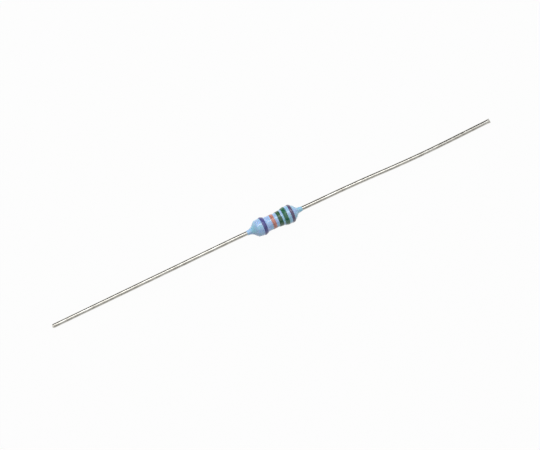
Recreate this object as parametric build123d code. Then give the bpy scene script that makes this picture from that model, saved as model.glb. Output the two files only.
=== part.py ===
from build123d import *
import math
import os

# A quarter-watt metal-film resistor with two axial leads, lying on a flat surface.
# Millimetres, +Z up.  The body's axis runs along X, and the origin lies on the resting plane
# under the middle of the body.  The body rests on the crowns over its two end caps, and each
# lead droops until its cut tip touches the same plane.

# ---- ceramic rod, and the metal film on it with its laser-cut helix ----
core_diameter = 1.60
core_length = 4.60
core_chamfer = 0.06
film_thickness = 0.03
groove_width = 0.08
groove_pitch = 0.36
groove_turns = 5.5

# ---- steel end caps, pressed over the coated rod ----
cap_wall = 0.18
cap_end_thickness = 0.20
cap_grip = 1.00
cap_corner = 0.18

# ---- tinned copper leads, butt-welded to the caps ----
lead_diameter = 0.55
lead_reach = 28.50
weld_diameter = 0.84
weld_length = 0.14
first_bend_gap = 1.00
first_bend_arc = 0.70

# sideways bends along each lead: distance past the first bend, offset in Y, arc reach
left_bends = ()
right_bends = ((6.40, 0.20, 3.00), (13.90, 0.17, 2.40), (18.40, 0.32, 1.30))
left_tip_offset = -0.33
right_tip_offset = 0.75

# cut tips: a chisel edge, left by side cutters, that is a little wider than the wire
tip_thickness = 0.13
tip_length = 0.26
tip_flare = 0.035
left_tip_edge = (0, 0, 1)
right_tip_edge = (0, 1, 0)

# ---- lacquer, dipped thick over the caps and thin over the rod ----
coat_over_film = 0.095
coat_over_cap = 0.16
skin_edge = 0.02
waist_round = 2.50
slope_round = 0.30
crown_round = 0.22
shoulder_round = 0.20

# left half, measured from the cap's rim, end face or outer wall
left_waist_inset = 0.14
left_waist_rise = 0.03
left_crown_offset = 0.38
left_shoulder_offset = 0.09
left_shoulder_cover = 0.05
left_foot_offset = 0.83
left_foot_rise = 0.095
left_foot_round = 0.80
left_skin_offset = 1.40

# right half, which has a longer crown and a steeper end
right_waist_inset = 0.40
right_waist_rise = 0.085
right_crown_offset = 0.18
right_shoulder_inset = 0.20
right_knee_offset = 0.28
right_knee_sink = 0.19
right_knee_round = 0.25
right_foot_offset = 0.65
right_foot_rise = 0.11
right_foot_round = 0.35
right_skin_offset = 1.30

# ---- five painted bands ----
band_thickness = 0.025
first_band_inset = 0.89
last_band_inset = 0.27
inner_band_centres = (-0.32, 0.57, 1.35)
band_widths = (0.475, 0.455, 0.50, 0.515, 0.41)

# ---- sizes that follow from the ones above ----
core_radius = core_diameter / 2
film_radius = core_radius + film_thickness
cap_radius = film_radius + cap_wall
cap_rim = core_length / 2 - cap_grip
cap_face = core_length / 2 + cap_end_thickness
lead_radius = lead_diameter / 2
waist_radius = film_radius + coat_over_film
crown_radius = cap_radius + coat_over_cap
axis_height = crown_radius + band_thickness


def on_axis(shape):
    """Lift what was built round the X axis up to the body's height."""
    return Pos(0, 0, axis_height) * shape


def turned(*points):
    """A solid turned round the X axis from a closed outline of (x, radius) points."""
    face = make_face(Polyline(*points, close=True))
    return revolve(face, Axis.X)


def ceramic_core():
    rod = Rot(0, 90, 0) * Cylinder(core_radius, core_length)
    ends = rod.edges().filter_by(GeomType.CIRCLE)
    return on_axis(chamfer(ends, core_chamfer))


def resistive_film():
    """A thin sleeve with a helical groove that leaves one long spiral path of film."""
    half = core_length / 2 - core_chamfer
    sleeve = turned((-half, core_radius), (half, core_radius), (half, film_radius), (-half, film_radius))
    run = groove_pitch * groove_turns
    middle = (core_radius + film_radius) / 2
    helix = Helix(pitch=groove_pitch, height=run, radius=middle)
    cutter_face = Plane(origin=helix @ 0, x_dir=(1, 0, 0), z_dir=helix % 0)
    cutter = sweep(cutter_face * Rectangle(film_thickness * 2, groove_width), path=helix, is_frenet=True)
    groove = Rot(0, 90, 0) * Pos(0, 0, -run / 2) * cutter
    return on_axis(sleeve - groove)


def end_cap(side):
    """A drawn cup: side is -1 for the left end and 1 for the right end."""
    inner = core_length / 2
    outline = FilletPolyline(
        (cap_rim, cap_radius), (cap_face, cap_radius), (cap_face, 0), radius=cap_corner
    )
    inside = Polyline((cap_face, 0), (inner, 0), (inner, film_radius), (cap_rim, film_radius))
    rim = Line((cap_rim, film_radius), (cap_rim, cap_radius))
    cup = revolve(make_face(outline + inside + rim), Axis.X)
    return on_axis(cup if side > 0 else mirror(cup, Plane.YZ))


def lead_points(side, skin_offset, bends, tip_offset, tip_height):
    """Corner points of a lead's centre line, from its weld to its tip.

    Past the first bend the wire drops evenly, so every later point lies on one slope.
    """
    first = cap_face + skin_offset + first_bend_gap
    tip = cap_face + lead_reach
    slope = (tip_height - axis_height) / (tip - first)
    points = [Vector(side * cap_face, 0, axis_height), Vector(side * first, 0, axis_height)]
    for distance, offset, _ in bends:
        points.append(Vector(side * (first + distance), offset, axis_height + slope * distance))
    points.append(Vector(side * tip, tip_offset, tip_height))
    return points


def bend_radius(before, corner, after, reach):
    """Radius of the arc that touches both runs at the given distance from their corner."""
    turn = math.radians((corner - before).get_angle(after - corner))
    return reach / math.tan(turn / 2)


def cut_tip(wire, tip, direction, edge):
    """Flare the wire's end and pinch it to a chisel edge that runs the given way."""
    frame = Plane(origin=tip, x_dir=edge, z_dir=direction)
    swell_length = 2 * tip_length
    swell = loft([
        frame.offset(-swell_length) * Circle(lead_radius),
        frame * Ellipse(lead_radius + tip_flare, lead_radius),
    ])
    rise = lead_radius - tip_thickness / 2
    overrun = 0.2
    far = 2 * lead_radius
    wedge = make_face(Polyline(
        (tip_thickness / 2 - rise * overrun, tip_length * overrun),
        (far, tip_length * overrun),
        (far, -tip_length * (1 + overrun)),
        (lead_radius + rise * overrun, -tip_length * (1 + overrun)),
        close=True,
    ))
    across = Plane(origin=tip, x_dir=frame.y_dir, z_dir=frame.x_dir)
    cutter = extrude(across * wedge, amount=far, both=True)
    return (wire + swell) - cutter - mirror(cutter, Plane(origin=tip, z_dir=frame.y_dir))


def lead(side, skin_offset, bends, tip_offset, edge):
    """A stiff round wire: welded foot, straight stretch through the lacquer, bends, cut tip."""
    tip_height = lead_radius + tip_flare * abs(edge[2])
    points = lead_points(side, skin_offset, bends, tip_offset, tip_height)
    reaches = [first_bend_arc] + [bend[2] for bend in bends]
    radii = [
        bend_radius(points[i], points[i + 1], points[i + 2], reach)
        for i, reach in enumerate(reaches)
    ]
    centre_line = FilletPolyline(*points, radius=radii)
    start = Plane(origin=points[0], z_dir=(side, 0, 0))
    wire = sweep(start * Circle(lead_radius), path=centre_line)
    foot = turned(
        (side * cap_face, 0),
        (side * cap_face, weld_diameter / 2),
        (side * (cap_face + weld_length), lead_radius),
        (side * (cap_face + weld_length), 0),
    )
    direction = (points[-1] - points[-2]).normalized()
    return cut_tip(wire + on_axis(foot), points[-1], direction, edge)


def lacquer_corners():
    """Corners of the lacquer's outer line from left to right: (x, radius, rounding)."""
    return [
        (-(cap_face + left_skin_offset), lead_radius + skin_edge, None),
        (-(cap_face + left_foot_offset), lead_radius + left_foot_rise, left_foot_round),
        (-(cap_face + left_shoulder_offset), cap_radius + left_shoulder_cover, shoulder_round),
        (-(cap_rim + left_crown_offset), crown_radius, crown_round),
        (-(cap_rim - left_waist_inset), waist_radius + left_waist_rise, slope_round),
        (0, waist_radius, waist_round),
        (cap_rim - right_waist_inset, waist_radius + right_waist_rise, slope_round),
        (cap_rim + right_crown_offset, crown_radius, crown_round),
        (cap_face - right_shoulder_inset, crown_radius, shoulder_round),
        (cap_face + right_knee_offset, cap_radius - right_knee_sink, right_knee_round),
        (cap_face + right_foot_offset, lead_radius + right_foot_rise, right_foot_round),
        (cap_face + right_skin_offset, lead_radius + skin_edge, None),
    ]


def lacquer_section(lift=0.0):
    """The filled half section under the lacquer's outer line, raised by lift."""
    corners = lacquer_corners()
    points = [(x, radius + lift) for x, radius, _ in corners]
    rounds = [rounding for _, _, rounding in corners[1:-1]]
    outline = FilletPolyline(*points, radius=rounds)
    base = Polyline(points[-1], (points[-1][0], 0), (points[0][0], 0), points[0])
    return make_face(outline + base)


def lacquer_coat(inner_pieces):
    """The dipped coat, which fills the film's groove but not the pockets inside the caps."""
    coat = on_axis(revolve(lacquer_section(), Axis.X))
    for piece in inner_pieces:
        coat = coat - piece
    return coat.solids().sort_by(SortBy.VOLUME)[-1]


def band(centre, width):
    """A painted ring that follows the lacquer's outline over its own width."""
    window = Pos(centre, 0) * Rectangle(width, 4 * axis_height)
    ring = (lacquer_section(band_thickness) & window) - lacquer_section()
    return on_axis(revolve(ring, Axis.X))


def band_centres():
    first = -(cap_face - first_band_inset)
    last = cap_face - last_band_inset
    return (first, *inner_band_centres, last)


def build():
    inner = {
        "ceramic_core": ceramic_core(),
        "resistive_film": resistive_film(),
        "end_cap_left": end_cap(-1),
        "end_cap_right": end_cap(1),
        "lead_left": lead(-1, left_skin_offset, left_bends, left_tip_offset, left_tip_edge),
        "lead_right": lead(1, right_skin_offset, right_bends, right_tip_offset, right_tip_edge),
    }
    nodes = dict(inner)
    nodes["lacquer_coat"] = lacquer_coat(inner.values())
    for number, (centre, width) in enumerate(zip(band_centres(), band_widths), start=1):
        nodes[f"band_{number}"] = band(centre, width)
    return nodes


os.makedirs("parts", exist_ok=True)
for name, shape in build().items():
    export_step(shape, f"parts/{name}.step")
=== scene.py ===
import bpy
import math
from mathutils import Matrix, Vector


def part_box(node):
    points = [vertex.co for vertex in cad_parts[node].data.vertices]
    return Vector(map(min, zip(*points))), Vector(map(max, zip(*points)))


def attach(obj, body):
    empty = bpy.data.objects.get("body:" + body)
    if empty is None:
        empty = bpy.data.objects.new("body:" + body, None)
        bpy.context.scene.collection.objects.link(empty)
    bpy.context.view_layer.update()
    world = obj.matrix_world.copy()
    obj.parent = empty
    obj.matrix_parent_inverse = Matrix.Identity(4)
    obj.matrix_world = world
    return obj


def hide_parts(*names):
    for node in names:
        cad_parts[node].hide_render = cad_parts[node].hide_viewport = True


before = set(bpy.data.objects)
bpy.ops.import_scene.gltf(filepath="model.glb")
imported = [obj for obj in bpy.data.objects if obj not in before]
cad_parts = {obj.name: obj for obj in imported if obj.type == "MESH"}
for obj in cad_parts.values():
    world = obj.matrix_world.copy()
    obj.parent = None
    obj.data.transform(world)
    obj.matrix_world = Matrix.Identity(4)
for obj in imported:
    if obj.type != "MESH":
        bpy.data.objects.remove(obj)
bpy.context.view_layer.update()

# An axial resistor on a white sweep.  The frame is in metres; the pieces are shaped at one unit
# to the millimetre, where small bevels stay exact, and each is brought to metres when it is done.

MM = 0.001


# ---------------------------------------------------------------- sizes, in millimetres

def span(node):
    """Lowest and highest corner of a CAD node, in millimetres."""
    low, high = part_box(node)
    return low / MM, high / MM


coat_low, coat_high = span("lacquer_coat")
cap_low, cap_high = span("end_cap_right")
core_high = span("ceramic_core")[1]

# body: the axis height, the places along it, and the radii round it
HEIGHT = (coat_high.z + coat_low.z) / 2
LEFT_END = coat_low.x
RIGHT_END = coat_high.x
CAP_RIM = cap_low.x
CAP_FACE = cap_high.x
CORE_END = core_high.x
CROWN = (coat_high.z - coat_low.z) / 2
CAP_RADIUS = 1.01
CAP_CORNER = 0.18
RIM_ROUND = 0.04
FILM_RADIUS = 0.83
CORE_RADIUS = 0.80
CORE_ROUND = 0.05
WAIST = FILM_RADIUS + 0.095

# wires: radius, weld foot, and the cut tips
WIRE = 0.275
SKIN = WIRE + 0.02
WELD = 0.42
WELD_END = CAP_FACE + 0.14
TIP_LENGTH = 0.26
TIP_THICKNESS = 0.13
TIP_FLARE = 0.035
LEFT_TIP = Vector((-31.0, -0.33, WIRE + TIP_FLARE))
RIGHT_TIP = Vector((31.0, 0.75, WIRE))

# bends: distance past the first bend, offset in Y, reach of the arc each side of its corner
LEFT_FIRST_BEND = 4.90
RIGHT_FIRST_BEND = 4.80
LEFT_BENDS = [(0.0, 0.0, 0.70)]
RIGHT_BENDS = [(0.0, 0.0, 0.70), (6.40, 0.20, 3.00), (13.90, 0.17, 2.40), (18.40, 0.32, 1.30)]

# painted bands
BAND_THICKNESS = 0.025
BAND_ROUND = 0.008
BAND_WANDER = 0.09
CUT_SLIVER = 0.006

# modelling: sides of a ring and of a wire, and how near two points are to count as one
SIDES = 96
WIRE_SIDES = 64
SAME = 1e-4
SAME_ON_BAND = 2e-4
NO_ROUND = 0.0

# radius of the pin-hole that a ring shape keeps along the axis, where a ring can't close
PIN_HOLE = 0.02

# the lacquer's outer line from left to right: (x, radius, rounding)
OUTER_LINE = [
    (LEFT_END, SKIN, NO_ROUND),                      # skin's edge on the left wire
    (-CAP_FACE - 0.83, WIRE + 0.095, 0.80),          # foot of the long left cone
    (-CAP_FACE - 0.09, CAP_RADIUS + 0.05, 0.20),     # left shoulder
    (-CAP_RIM - 0.38, CROWN, 0.22),                  # left crown
    (-CAP_RIM + 0.14, WAIST + 0.03, 0.30),           # left end of the waist
    (0.0, WAIST, 2.50),                              # middle
    (CAP_RIM - 0.40, WAIST + 0.085, 0.30),           # right end of the waist
    (CAP_RIM + 0.18, CROWN, 0.22),                   # right crown, inner edge
    (CAP_FACE - 0.20, CROWN, 0.20),                  # right crown, outer edge
    (CAP_FACE + 0.28, CAP_RADIUS - 0.19, 0.25),      # knee of the steep right end
    (CAP_FACE + 0.65, WIRE + 0.11, 0.35),            # foot of the right cone
    (RIGHT_END, SKIN, NO_ROUND),                     # skin's edge on the right wire
]

# the lacquer's inner line, which follows the wires, welds, caps and film
INNER_LINE = [
    (RIGHT_END, WIRE, NO_ROUND),
    (WELD_END, WIRE, NO_ROUND),
    (CAP_FACE, WELD, NO_ROUND),
    (CAP_FACE, CAP_RADIUS, CAP_CORNER),
    (CAP_RIM, CAP_RADIUS, NO_ROUND),
    (CAP_RIM, FILM_RADIUS, NO_ROUND),
    (-CAP_RIM, FILM_RADIUS, NO_ROUND),
    (-CAP_RIM, CAP_RADIUS, NO_ROUND),
    (-CAP_FACE, CAP_RADIUS, CAP_CORNER),
    (-CAP_FACE, WELD, NO_ROUND),
    (-WELD_END, WIRE, NO_ROUND),
    (LEFT_END, WIRE, NO_ROUND),
]


# ---------------------------------------------------------------- modelling with operators

def edit(piece, on=True):
    """Enter edit mode on a piece, or leave it."""
    bpy.context.view_layer.objects.active = piece
    bpy.ops.object.mode_set(mode="EDIT" if on else "OBJECT")


def only(piece):
    """Make this piece the one selected and active object."""
    bpy.ops.object.select_all(action="DESELECT")
    piece.select_set(True)
    bpy.context.view_layer.objects.active = piece


def pick_edges(piece, test):
    """Select just the edges whose two ends pass the test, and return to edit mode."""
    edit(piece, False)
    mesh = piece.data
    for face in mesh.polygons:
        face.select = False
    good = [test(vertex.co) for vertex in mesh.vertices]
    for vertex in mesh.vertices:
        vertex.select = good[vertex.index]
    for edge in mesh.edges:
        edge.select = good[edge.vertices[0]] and good[edge.vertices[1]]
    edit(piece)
    bpy.ops.mesh.select_mode(type="EDGE")


def pick_faces(piece, test):
    """Select just the faces whose centre passes the test, and return to edit mode."""
    edit(piece)
    bpy.ops.mesh.select_mode(type="FACE")
    bpy.ops.mesh.select_all(action="DESELECT")
    edit(piece, False)
    for face in piece.data.polygons:
        face.select = test(face.center, face.normal)
    edit(piece)


def radius_of(point):
    """Distance from the body's axis."""
    return math.hypot(point.y, point.z - HEIGHT)


def tangent_reach(before, corner, after, rounding):
    """How far along its two runs a corner's arc of the given radius begins."""
    first = Vector((corner[0] - before[0], corner[1] - before[1]))
    second = Vector((after[0] - corner[0], after[1] - corner[1]))
    return rounding * math.tan(first.angle(second) / 2)


def circle(name, x, radius, sides=SIDES):
    """A ring of edges across the body's axis, left in edit mode with all of it selected."""
    bpy.ops.object.select_all(action="DESELECT")
    bpy.ops.mesh.primitive_circle_add(
        vertices=sides, radius=radius, location=(x, 0, HEIGHT), rotation=(0, math.pi / 2, 0)
    )
    piece = bpy.context.object
    piece.name = name
    piece.data.name = name
    bpy.ops.object.transform_apply(location=True, rotation=True, scale=True)
    edit(piece)
    bpy.ops.mesh.select_all(action="SELECT")
    return piece


def pull_ring(dx, dy=0.0, dz=0.0):
    """Extrude the selected ring and move it."""
    bpy.ops.mesh.extrude_region_move(TRANSFORM_OT_translate={"value": (dx, dy, dz)})


def scale_ring(centre, by_y, by_z):
    """Scale the selected ring about a point."""
    bpy.ops.transform.resize(value=(1, by_y, by_z), center_override=centre)


def round_ring(piece, corner, reach, segments):
    """Round the ring of edges at a corner of the outline."""
    def on_ring(point):
        return abs(point.x - corner[0]) < SAME and abs(radius_of(point) - corner[1]) < SAME

    pick_edges(piece, on_ring)
    bpy.ops.mesh.bevel(offset_type="OFFSET", offset=reach, segments=segments, profile=0.5)


def turned(name, line, segments=8):
    """A closed ring shape: a circle pulled and scaled round a closed line of corners."""
    piece = circle(name, line[0][0], line[0][1])
    for before, after in zip(line, line[1:] + line[:1]):
        pull_ring(after[0] - before[0])
        factor = after[1] / before[1]
        scale_ring((after[0], 0, HEIGHT), factor, factor)
    bpy.ops.mesh.select_all(action="SELECT")
    bpy.ops.mesh.remove_doubles(threshold=SAME)
    bpy.ops.mesh.normals_make_consistent(inside=False)
    for index, corner in enumerate(line):
        if corner[2] > NO_ROUND:
            before = line[index - 1]
            after = line[(index + 1) % len(line)]
            reach = tangent_reach(before, corner, after, corner[2])
            round_ring(piece, corner, reach, segments)
    edit(piece, False)
    return piece


def add_modifier(piece, kind, **settings):
    """Add one modifier and apply it."""
    only(piece)
    modifier = piece.modifiers.new(kind.lower(), kind)
    for key, value in settings.items():
        setattr(modifier, key, value)
    bpy.ops.object.modifier_apply(modifier=modifier.name)


def clouds(name, size):
    """A soft cloud pattern for displacement, with blobs about this many millimetres across."""
    texture = bpy.data.textures.new(name, "CLOUDS")
    texture.noise_scale = size
    texture.noise_depth = 1
    return texture


def own_copy(piece, name):
    """A copy with a mesh of its own."""
    only(piece)
    bpy.ops.object.duplicate()
    copy = bpy.context.object
    copy.name = name
    copy.data.name = name
    return copy


def finish_piece(piece, slot, material, *nodes, angle=35.0):
    """Shade, bring to metres, hang on the body and hide the CAD nodes it stands for."""
    only(piece)
    bpy.ops.object.shade_smooth_by_angle(angle=math.radians(angle))
    piece.scale = (MM, MM, MM)
    bpy.ops.object.transform_apply(location=True, rotation=True, scale=True)
    piece.data.materials.clear()
    piece.data.materials.append(material)
    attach(piece, "root")
    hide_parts(*nodes)
    return piece


# ---------------------------------------------------------------- materials

def linear(hex_colour):
    """sRGB hex to a linear RGBA tuple."""
    values = [int(hex_colour[i:i + 2], 16) / 255 for i in (1, 3, 5)]
    curve = [v / 12.92 if v <= 0.04045 else ((v + 0.055) / 1.055) ** 2.4 for v in values]
    return (*curve, 1.0)


def node(tree, kind, links=None, **settings):
    """Add one node: settings are properties or input values, links give an input its source."""
    made = tree.nodes.new(kind)
    for key, value in settings.items():
        if hasattr(made, key):
            setattr(made, key, value)
        else:
            made.inputs[key.replace("_", " ")].default_value = value
    for name, output in (links or {}).items():
        tree.links.new(made.inputs[name], output)
    return made


def new_material(name, **surface):
    """A material with one surface shader, and a millimetre coordinate to pattern it by."""
    material = bpy.data.materials.new(name)
    material.use_nodes = True
    tree = material.node_tree
    shader = tree.nodes["Principled BSDF"]
    for key, value in surface.items():
        shader.inputs[key.replace("_", " ")].default_value = value
    place = node(tree, "ShaderNodeTexCoord")
    scaled = node(
        tree, "ShaderNodeMapping", {"Vector": place.outputs["Object"]},
        Location=(0, 0, -HEIGHT), Scale=(1 / MM, 1 / MM, 1 / MM),
    )
    return material, tree, shader, scaled.outputs["Vector"]


def noise(tree, vector, size, detail=2.0, roughness=0.5, distortion=0.0):
    """Noise whose blobs are about the given number of millimetres across."""
    return node(
        tree, "ShaderNodeTexNoise", {"Vector": vector},
        Scale=1 / size, Detail=detail, Roughness=roughness, Distortion=distortion,
    )


def ramp(tree, factor, *stops):
    """A colour ramp; a stop is (place, sRGB hex) or (place, grey value)."""
    made = node(tree, "ShaderNodeValToRGB", {"Fac": factor})
    elements = made.color_ramp.elements
    while len(elements) < len(stops):
        elements.new(0.5)
    for element, (place, colour) in zip(elements, stops):
        element.position = place
        element.color = linear(colour) if isinstance(colour, str) else (colour, colour, colour, 1)
    return made


def bump(tree, shader, height, depth_mm):
    """Feed a height pattern to the shader's normal, at its real depth."""
    made = node(tree, "ShaderNodeBump", {"Height": height}, Strength=1.0, Distance=depth_mm * MM)
    tree.links.new(shader.inputs["Normal"], made.outputs["Normal"])


def epoxy_lacquer():
    """Dipped epoxy: a glossy, slightly milky light blue that pools a little unevenly."""
    material, tree, shader, place = new_material(
        "dipped_blue_epoxy", IOR=1.52, Subsurface_Weight=0.12, Subsurface_Scale=0.00015,
        Coat_Weight=0.35, Coat_Roughness=0.06,
    )
    pools = noise(tree, place, 1.1, detail=3.0, distortion=0.4)
    tint = ramp(tree, pools.outputs["Fac"], (0.34, "#9cb4e4"), (0.50, "#98bade"), (0.66, "#8cc0d6"))
    tree.links.new(shader.inputs["Base Color"], tint.outputs["Color"])
    haze = noise(tree, place, 0.35, detail=2.0)
    gloss = ramp(tree, haze.outputs["Fac"], (0.3, 0.16), (0.7, 0.27))
    tree.links.new(shader.inputs["Roughness"], gloss.outputs["Color"])
    peel = noise(tree, place, 0.22, detail=1.0)
    bump(tree, shader, peel.outputs["Fac"], 0.012)
    return material


def band_paint(name, light, body, dark):
    """Marking paint rolled on in one turn: glossy, streaked round the body, thin in places."""
    material, tree, shader, place = new_material(
        name, IOR=1.5, Coat_Weight=0.25, Coat_Roughness=0.08,
    )
    stretched = node(tree, "ShaderNodeMapping", {"Vector": place}, Scale=(5.0, 1.0, 1.0))
    streaks = noise(tree, stretched.outputs["Vector"], 0.55, detail=4.0, roughness=0.6)
    tint = ramp(tree, streaks.outputs["Fac"], (0.30, dark), (0.50, body), (0.72, light))
    tree.links.new(shader.inputs["Base Color"], tint.outputs["Color"])
    gloss = ramp(tree, streaks.outputs["Fac"], (0.3, 0.20), (0.7, 0.34))
    tree.links.new(shader.inputs["Roughness"], gloss.outputs["Color"])
    bump(tree, shader, streaks.outputs["Fac"], 0.010)
    return material


def tinned_copper():
    """Drawn copper wire, dip-tinned: a bright soft-edged mirror with faint lines along it."""
    material, tree, shader, place = new_material("tinned_copper_wire", Metallic=1.0)
    along = node(tree, "ShaderNodeMapping", {"Vector": place}, Scale=(0.06, 1.0, 1.0))
    lines = noise(tree, along.outputs["Vector"], 0.06, detail=3.0, roughness=0.6)
    pools = noise(tree, place, 0.9, detail=3.0)
    tint = ramp(tree, pools.outputs["Fac"], (0.30, "#b0ada5"), (0.55, "#c3c1ba"), (0.75, "#d0cfca"))
    tree.links.new(shader.inputs["Base Color"], tint.outputs["Color"])
    gloss = ramp(tree, lines.outputs["Fac"], (0.3, 0.09), (0.7, 0.18))
    tree.links.new(shader.inputs["Roughness"], gloss.outputs["Color"])
    bump(tree, shader, lines.outputs["Fac"], 0.004)
    return material


def alumina():
    """Extruded and fired ceramic: matt, off-white, with a fine grain."""
    material, tree, shader, place = new_material("fired_alumina", Roughness=0.65, IOR=1.7)
    grain = noise(tree, place, 0.05, detail=4.0)
    tint = ramp(tree, grain.outputs["Fac"], (0.3, "#dedad0"), (0.7, "#f1eee6"))
    tree.links.new(shader.inputs["Base Color"], tint.outputs["Color"])
    bump(tree, shader, grain.outputs["Fac"], 0.004)
    return material


def sputtered_film():
    """Nickel-chromium film: a dark grey satin metal that shows the ceramic's grain."""
    material, tree, shader, place = new_material("sputtered_nichrome", Metallic=1.0)
    grain = noise(tree, place, 0.06, detail=4.0)
    tint = ramp(tree, grain.outputs["Fac"], (0.3, "#5c5a57"), (0.7, "#7a7772"))
    tree.links.new(shader.inputs["Base Color"], tint.outputs["Color"])
    gloss = ramp(tree, grain.outputs["Fac"], (0.3, 0.38), (0.7, 0.52))
    tree.links.new(shader.inputs["Roughness"], gloss.outputs["Color"])
    return material


def drawn_steel():
    """Deep-drawn steel cup with a thin tin plate: grey, with draw lines along its wall."""
    material, tree, shader, place = new_material("drawn_plated_steel", Metallic=1.0)
    along = node(tree, "ShaderNodeMapping", {"Vector": place}, Scale=(0.1, 1.0, 1.0))
    lines = noise(tree, along.outputs["Vector"], 0.08, detail=3.0)
    tint = ramp(tree, lines.outputs["Fac"], (0.3, "#98968f"), (0.7, "#b8b6b0"))
    tree.links.new(shader.inputs["Base Color"], tint.outputs["Color"])
    gloss = ramp(tree, lines.outputs["Fac"], (0.3, 0.25), (0.7, 0.4))
    tree.links.new(shader.inputs["Roughness"], gloss.outputs["Color"])
    bump(tree, shader, lines.outputs["Fac"], 0.004)
    return material


# ---------------------------------------------------------------- the pieces

def lacquer_body():
    """The dipped coat, a closed shell over film, caps and wires, a little uneven all round."""
    coat = turned("lacquer", OUTER_LINE + INNER_LINE)
    add_modifier(coat, "SUBSURF", subdivision_type="SIMPLE", levels=1, render_levels=1)
    add_modifier(
        coat, "DISPLACE", texture=clouds("lacquer_sag", 1.3), texture_coords="LOCAL",
        strength=0.022, mid_level=0.5,
    )
    return coat


def painted_band(coat, name, low, high, wobble):
    """A strip cut from the lacquer's own surface, waved at its edges and given its thickness."""
    strip = own_copy(coat, name)
    edit(strip)
    for place, side in ((low, {"clear_inner": True}), (high, {"clear_outer": True})):
        bpy.ops.mesh.select_all(action="SELECT")
        bpy.ops.mesh.bisect(plane_co=(place, 0, 0), plane_no=(1, 0, 0), **side)

    def not_outside(centre, normal):
        outwards = Vector((0, centre.y, centre.z - HEIGHT)).normalized()
        return normal.dot(outwards) < 0.5

    pick_faces(strip, not_outside)
    bpy.ops.mesh.delete(type="FACE")
    bpy.ops.mesh.select_all(action="SELECT")
    bpy.ops.mesh.remove_doubles(threshold=CUT_SLIVER)
    edit(strip, False)
    add_modifier(
        strip, "DISPLACE", texture=clouds(name + "_edge", wobble), texture_coords="LOCAL",
        direction="X", strength=BAND_WANDER, mid_level=0.5,
    )
    add_modifier(strip, "SHRINKWRAP", target=coat, wrap_method="NEAREST_SURFACEPOINT")
    add_modifier(strip, "SOLIDIFY", thickness=BAND_THICKNESS, offset=1.0, use_even_offset=True)
    add_modifier(
        strip, "BEVEL", width=BAND_ROUND, segments=3, limit_method="ANGLE",
        angle_limit=math.radians(40), use_clamp_overlap=False,
    )
    edit(strip)
    bpy.ops.mesh.select_all(action="SELECT")
    bpy.ops.mesh.remove_doubles(threshold=SAME_ON_BAND)
    bpy.ops.mesh.dissolve_degenerate(threshold=SAME_ON_BAND)
    edit(strip, False)
    return strip


def wire(name, side, turns, tip, edge_upright):
    """A lead: weld foot, straight stretch, soft bends, and a tip nipped off by side cutters."""
    lead = circle(name, side * CAP_FACE, WELD, sides=WIRE_SIDES)
    bpy.ops.mesh.edge_face_add()
    at = Vector((side * CAP_FACE, 0, HEIGHT))
    foot = Vector((side * WELD_END, 0, HEIGHT))
    pull_ring(foot.x - at.x)
    scale_ring(foot, WIRE / WELD, WIRE / WELD)
    at = foot
    for turn, _ in turns:
        pull_ring(*(turn - at))
        at = turn
    direction = (tip - at).normalized()
    neck = tip - direction * (2 * TIP_LENGTH)
    pull_ring(*(neck - at))
    pull_ring(*(tip - neck))
    flare = (WIRE + TIP_FLARE) / WIRE
    scale_ring(tip, 1 if edge_upright else flare, flare if edge_upright else 1)
    for turn, reach in turns:
        pick_edges(lead, lambda point: abs(point.x - turn.x) < SAME)
        bpy.ops.mesh.bevel(offset_type="OFFSET", offset=reach, segments=10, profile=0.5)
    pinch = Vector((0, 1, 0)) if edge_upright else Vector((0, 0, 1))
    slant = math.atan2(WIRE - TIP_THICKNESS / 2, TIP_LENGTH)
    for way in (1, -1):
        normal = (way * math.cos(slant) * pinch + math.sin(slant) * direction).normalized()
        point = tip + way * pinch * TIP_THICKNESS / 2
        bpy.ops.mesh.select_all(action="SELECT")
        bpy.ops.mesh.bisect(plane_co=point, plane_no=normal, use_fill=True, clear_outer=True)
    bpy.ops.mesh.select_all(action="SELECT")
    bpy.ops.mesh.normals_make_consistent(inside=False)
    edit(lead, False)
    return lead


def cap(name, side):
    """A drawn cup, open towards the middle of the rod."""
    line = [
        (side * CAP_RIM, CAP_RADIUS, RIM_ROUND),
        (side * CAP_FACE, CAP_RADIUS, CAP_CORNER),
        (side * CAP_FACE, PIN_HOLE, NO_ROUND),
        (side * CORE_END, PIN_HOLE, NO_ROUND),
        (side * CORE_END, FILM_RADIUS, NO_ROUND),
        (side * CAP_RIM, FILM_RADIUS, RIM_ROUND),
    ]
    return turned(name, line, segments=5)


def rod():
    """The ceramic rod, with its sharp ends ground off."""
    line = [
        (-CORE_END, PIN_HOLE, NO_ROUND),
        (-CORE_END, CORE_RADIUS, CORE_ROUND),
        (CORE_END, CORE_RADIUS, CORE_ROUND),
        (CORE_END, PIN_HOLE, NO_ROUND),
    ]
    return turned("rod", line, segments=3)


def turns_along(side, first, tip, bends):
    """Bend points: (place, arc reach).  Past the first bend the wire drops evenly."""
    slope = (tip.z - HEIGHT) / (abs(tip.x) - first)
    return [
        (Vector((side * (first + along), offset, HEIGHT + slope * along)), reach)
        for along, offset, reach in bends
    ]


lacquer = lacquer_body()

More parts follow.
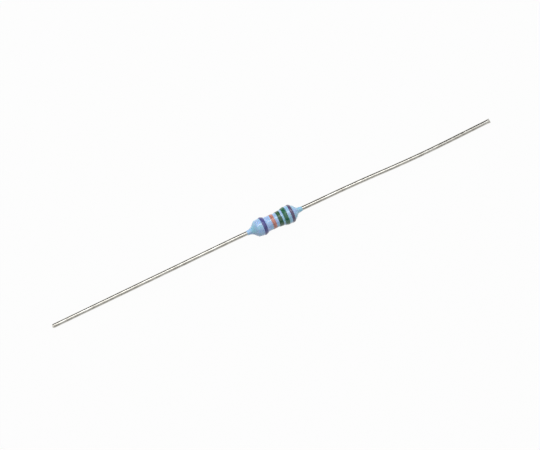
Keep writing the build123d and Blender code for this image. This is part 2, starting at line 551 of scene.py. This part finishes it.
# each band: paint, its light, middle and dark colours, and its slot
band_looks = {
    "band_1": ("violet_marking_paint", "#5d5c9c", "#474783", "#3a3a70", "paint_violet"),
    "band_2": ("orange_red_marking_paint", "#cf8f80", "#b8776b", "#8f655f", "paint_orange_red"),
    "band_3": ("olive_green_marking_paint", "#3d6a44", "#2b5338", "#244433", "paint_green"),
    "band_4": ("leaf_green_marking_paint", "#3f8a68", "#2a5f47", "#22503d", "paint_green"),
    "band_5": ("plum_marking_paint", "#6c5c7c", "#524667", "#413650", "paint_plum"),
}
for index, (band, (paint, light, body, dark, slot)) in enumerate(band_looks.items()):
    low, high = span(band)
    strip = painted_band(lacquer, "paint_" + band, low.x, high.x, 0.45 + 0.05 * index)
    finish_piece(strip, slot, band_paint(paint, light, body, dark), band)

finish_piece(lacquer, "lacquer", epoxy_lacquer(), "lacquer_coat")

tin = tinned_copper()
left_turns = turns_along(-1, LEFT_FIRST_BEND, LEFT_TIP, LEFT_BENDS)
left_wire = wire("wire_left", -1, left_turns, LEFT_TIP, edge_upright=True)
finish_piece(left_wire, "lead", tin, "lead_left")
right_turns = turns_along(1, RIGHT_FIRST_BEND, RIGHT_TIP, RIGHT_BENDS)
right_wire = wire("wire_right", 1, right_turns, RIGHT_TIP, edge_upright=False)
finish_piece(right_wire, "lead", tin, "lead_right")

steel = drawn_steel()
finish_piece(cap("cup_left", -1), "cap", steel, "end_cap_left")
finish_piece(cap("cup_right", 1), "cap", steel, "end_cap_right")
finish_piece(rod(), "ceramic", alumina(), "ceramic_core")
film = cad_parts["resistive_film"]
film.data.materials.clear()
film.data.materials.append(sputtered_film())


# ---------------------------------------------------------------- stage, light and camera

# how much of the floor is plain white to the camera and in reflections; the rest keeps a shadow
FLOOR_WHITE = 0.97

# studio: (place on the ramp, brightness), by closeness to the tent's middle, height, and endways
TENT_MIDDLE = (0.10, -0.32, 0.94)
TENT_DIM = (0.70, 0.02)
TENT_WHITE = (0.79, 1.0)
HORIZON_WHITE = (0.02, 1.0)
HORIZON_DIM = (0.07, 0.0)
WALL_DIM = (0.34, 0.0)
WALL_WHITE = (0.52, 0.60)

# camera: angles in degrees, distance in metres, lens in millimetres, and how many metres the aim
# lies left of and below the body's middle
AZIMUTH = -26.13
ELEVATION = 67.0
DISTANCE = 0.3877
LENS = 205.2
AIM_LEFT = 0.00061
AIM_DOWN = 0.00055


def white_floor():
    """A pale sweep, white to the camera and in reflections, with a faint shadow on it."""
    bpy.ops.object.select_all(action="DESELECT")
    bpy.ops.mesh.primitive_plane_add(size=6.0, location=(0, 0, 0))
    floor = bpy.context.object
    floor.name = "floor"
    material = bpy.data.materials.new("pale_sweep")
    material.use_nodes = True
    tree = material.node_tree
    tree.nodes.clear()
    paths = node(tree, "ShaderNodeLightPath")
    paper = node(tree, "ShaderNodeBsdfDiffuse", Color=linear("#9c9c9a"))
    glow = node(tree, "ShaderNodeEmission", Color=(1, 1, 1, 1), Strength=1.0)
    mirrored = node(
        tree, "ShaderNodeMath",
        {0: paths.outputs["Is Camera Ray"], 1: paths.outputs["Is Glossy Ray"]},
        operation="MAXIMUM",
    )
    mirrored_or_clear = node(
        tree, "ShaderNodeMath",
        {0: mirrored.outputs[0], 1: paths.outputs["Is Transmission Ray"]},
        operation="MAXIMUM",
    )
    seen = node(tree, "ShaderNodeMath", {0: mirrored_or_clear.outputs[0]}, operation="MULTIPLY")
    seen.inputs[1].default_value = FLOOR_WHITE
    mixed = node(
        tree, "ShaderNodeMixShader",
        {"Fac": seen.outputs[0], 1: paper.outputs[0], 2: glow.outputs[0]},
    )
    node(tree, "ShaderNodeOutputMaterial", {"Surface": mixed.outputs[0]})
    floor.data.materials.append(material)


def soft_world():
    """A studio for every ray alike: a white tent over the front of the object, pale walls at
    its two ends, and a white horizon where the sweep runs out of sight.  What is left is a dim
    gap on each long side, which draws a dark line down each side of a bright wire."""
    world = bpy.data.worlds.new("studio")
    bpy.context.scene.world = world
    world.use_nodes = True
    tree = world.node_tree
    tree.nodes.clear()
    ray = node(tree, "ShaderNodeTexCoord")
    towards = node(
        tree, "ShaderNodeVectorMath", {0: ray.outputs["Generated"]}, operation="DOT_PRODUCT"
    )
    towards.inputs[1].default_value = TENT_MIDDLE
    tent = ramp(tree, towards.outputs["Value"], TENT_DIM, TENT_WHITE)
    direction = node(tree, "ShaderNodeSeparateXYZ", {"Vector": ray.outputs["Generated"]})
    horizon = ramp(tree, direction.outputs["Z"], HORIZON_WHITE, HORIZON_DIM)
    endways = node(tree, "ShaderNodeMath", {0: direction.outputs["X"]}, operation="ABSOLUTE")
    walls = ramp(tree, endways.outputs[0], WALL_DIM, WALL_WHITE)
    white = tent.outputs["Color"]
    for other in (horizon, walls):
        brighter = node(
            tree, "ShaderNodeMath", {0: white, 1: other.outputs["Color"]}, operation="MAXIMUM"
        )
        white = brighter.outputs[0]
    room = node(tree, "ShaderNodeBackground", {"Color": white}, Strength=1.0)
    node(tree, "ShaderNodeOutputWorld", {"Surface": room.outputs[0]})


def softbox(name, place, size, power):
    """A rectangular lamp turned towards the object."""
    light = bpy.data.lights.new(name, "AREA")
    light.shape = "RECTANGLE"
    light.size, light.size_y = size
    light.energy = power
    lamp = bpy.data.objects.new(name, light)
    bpy.context.scene.collection.objects.link(lamp)
    lamp.location = place
    lamp.rotation_euler = (-Vector(place)).to_track_quat("-Z", "Y").to_euler()
    return lamp


def set_camera():
    """Look down at the body from the front left, through a long lens."""
    azimuth = math.radians(AZIMUTH)
    elevation = math.radians(ELEVATION)
    back = Vector((
        math.sin(azimuth) * math.cos(elevation),
        -math.cos(azimuth) * math.cos(elevation),
        math.sin(elevation),
    ))
    right = Vector((math.cos(azimuth), math.sin(azimuth), 0))
    up = back.cross(right)
    aim = Vector((0, 0, HEIGHT * MM)) - right * AIM_LEFT - up * AIM_DOWN
    data = bpy.data.cameras.new("camera")
    data.lens = LENS
    data.clip_start = 0.005
    data.clip_end = 10.0
    camera = bpy.data.objects.new("camera", data)
    bpy.context.scene.collection.objects.link(camera)
    camera.location = aim + back * DISTANCE
    camera.rotation_euler = back.to_track_quat("Z", "Y").to_euler()
    bpy.context.scene.camera = camera


white_floor()
soft_world()
softbox("key", (0.03, 0.08, 0.30), (0.20, 0.12), 0.22)
side = softbox("side", (0.02, 0.26, 0.22), (0.24, 0.16), 0.66)
side.visible_glossy = False        # its reflection would hide a wire's dark line
set_camera()
bpy.context.scene.view_settings.view_transform = "Standard"
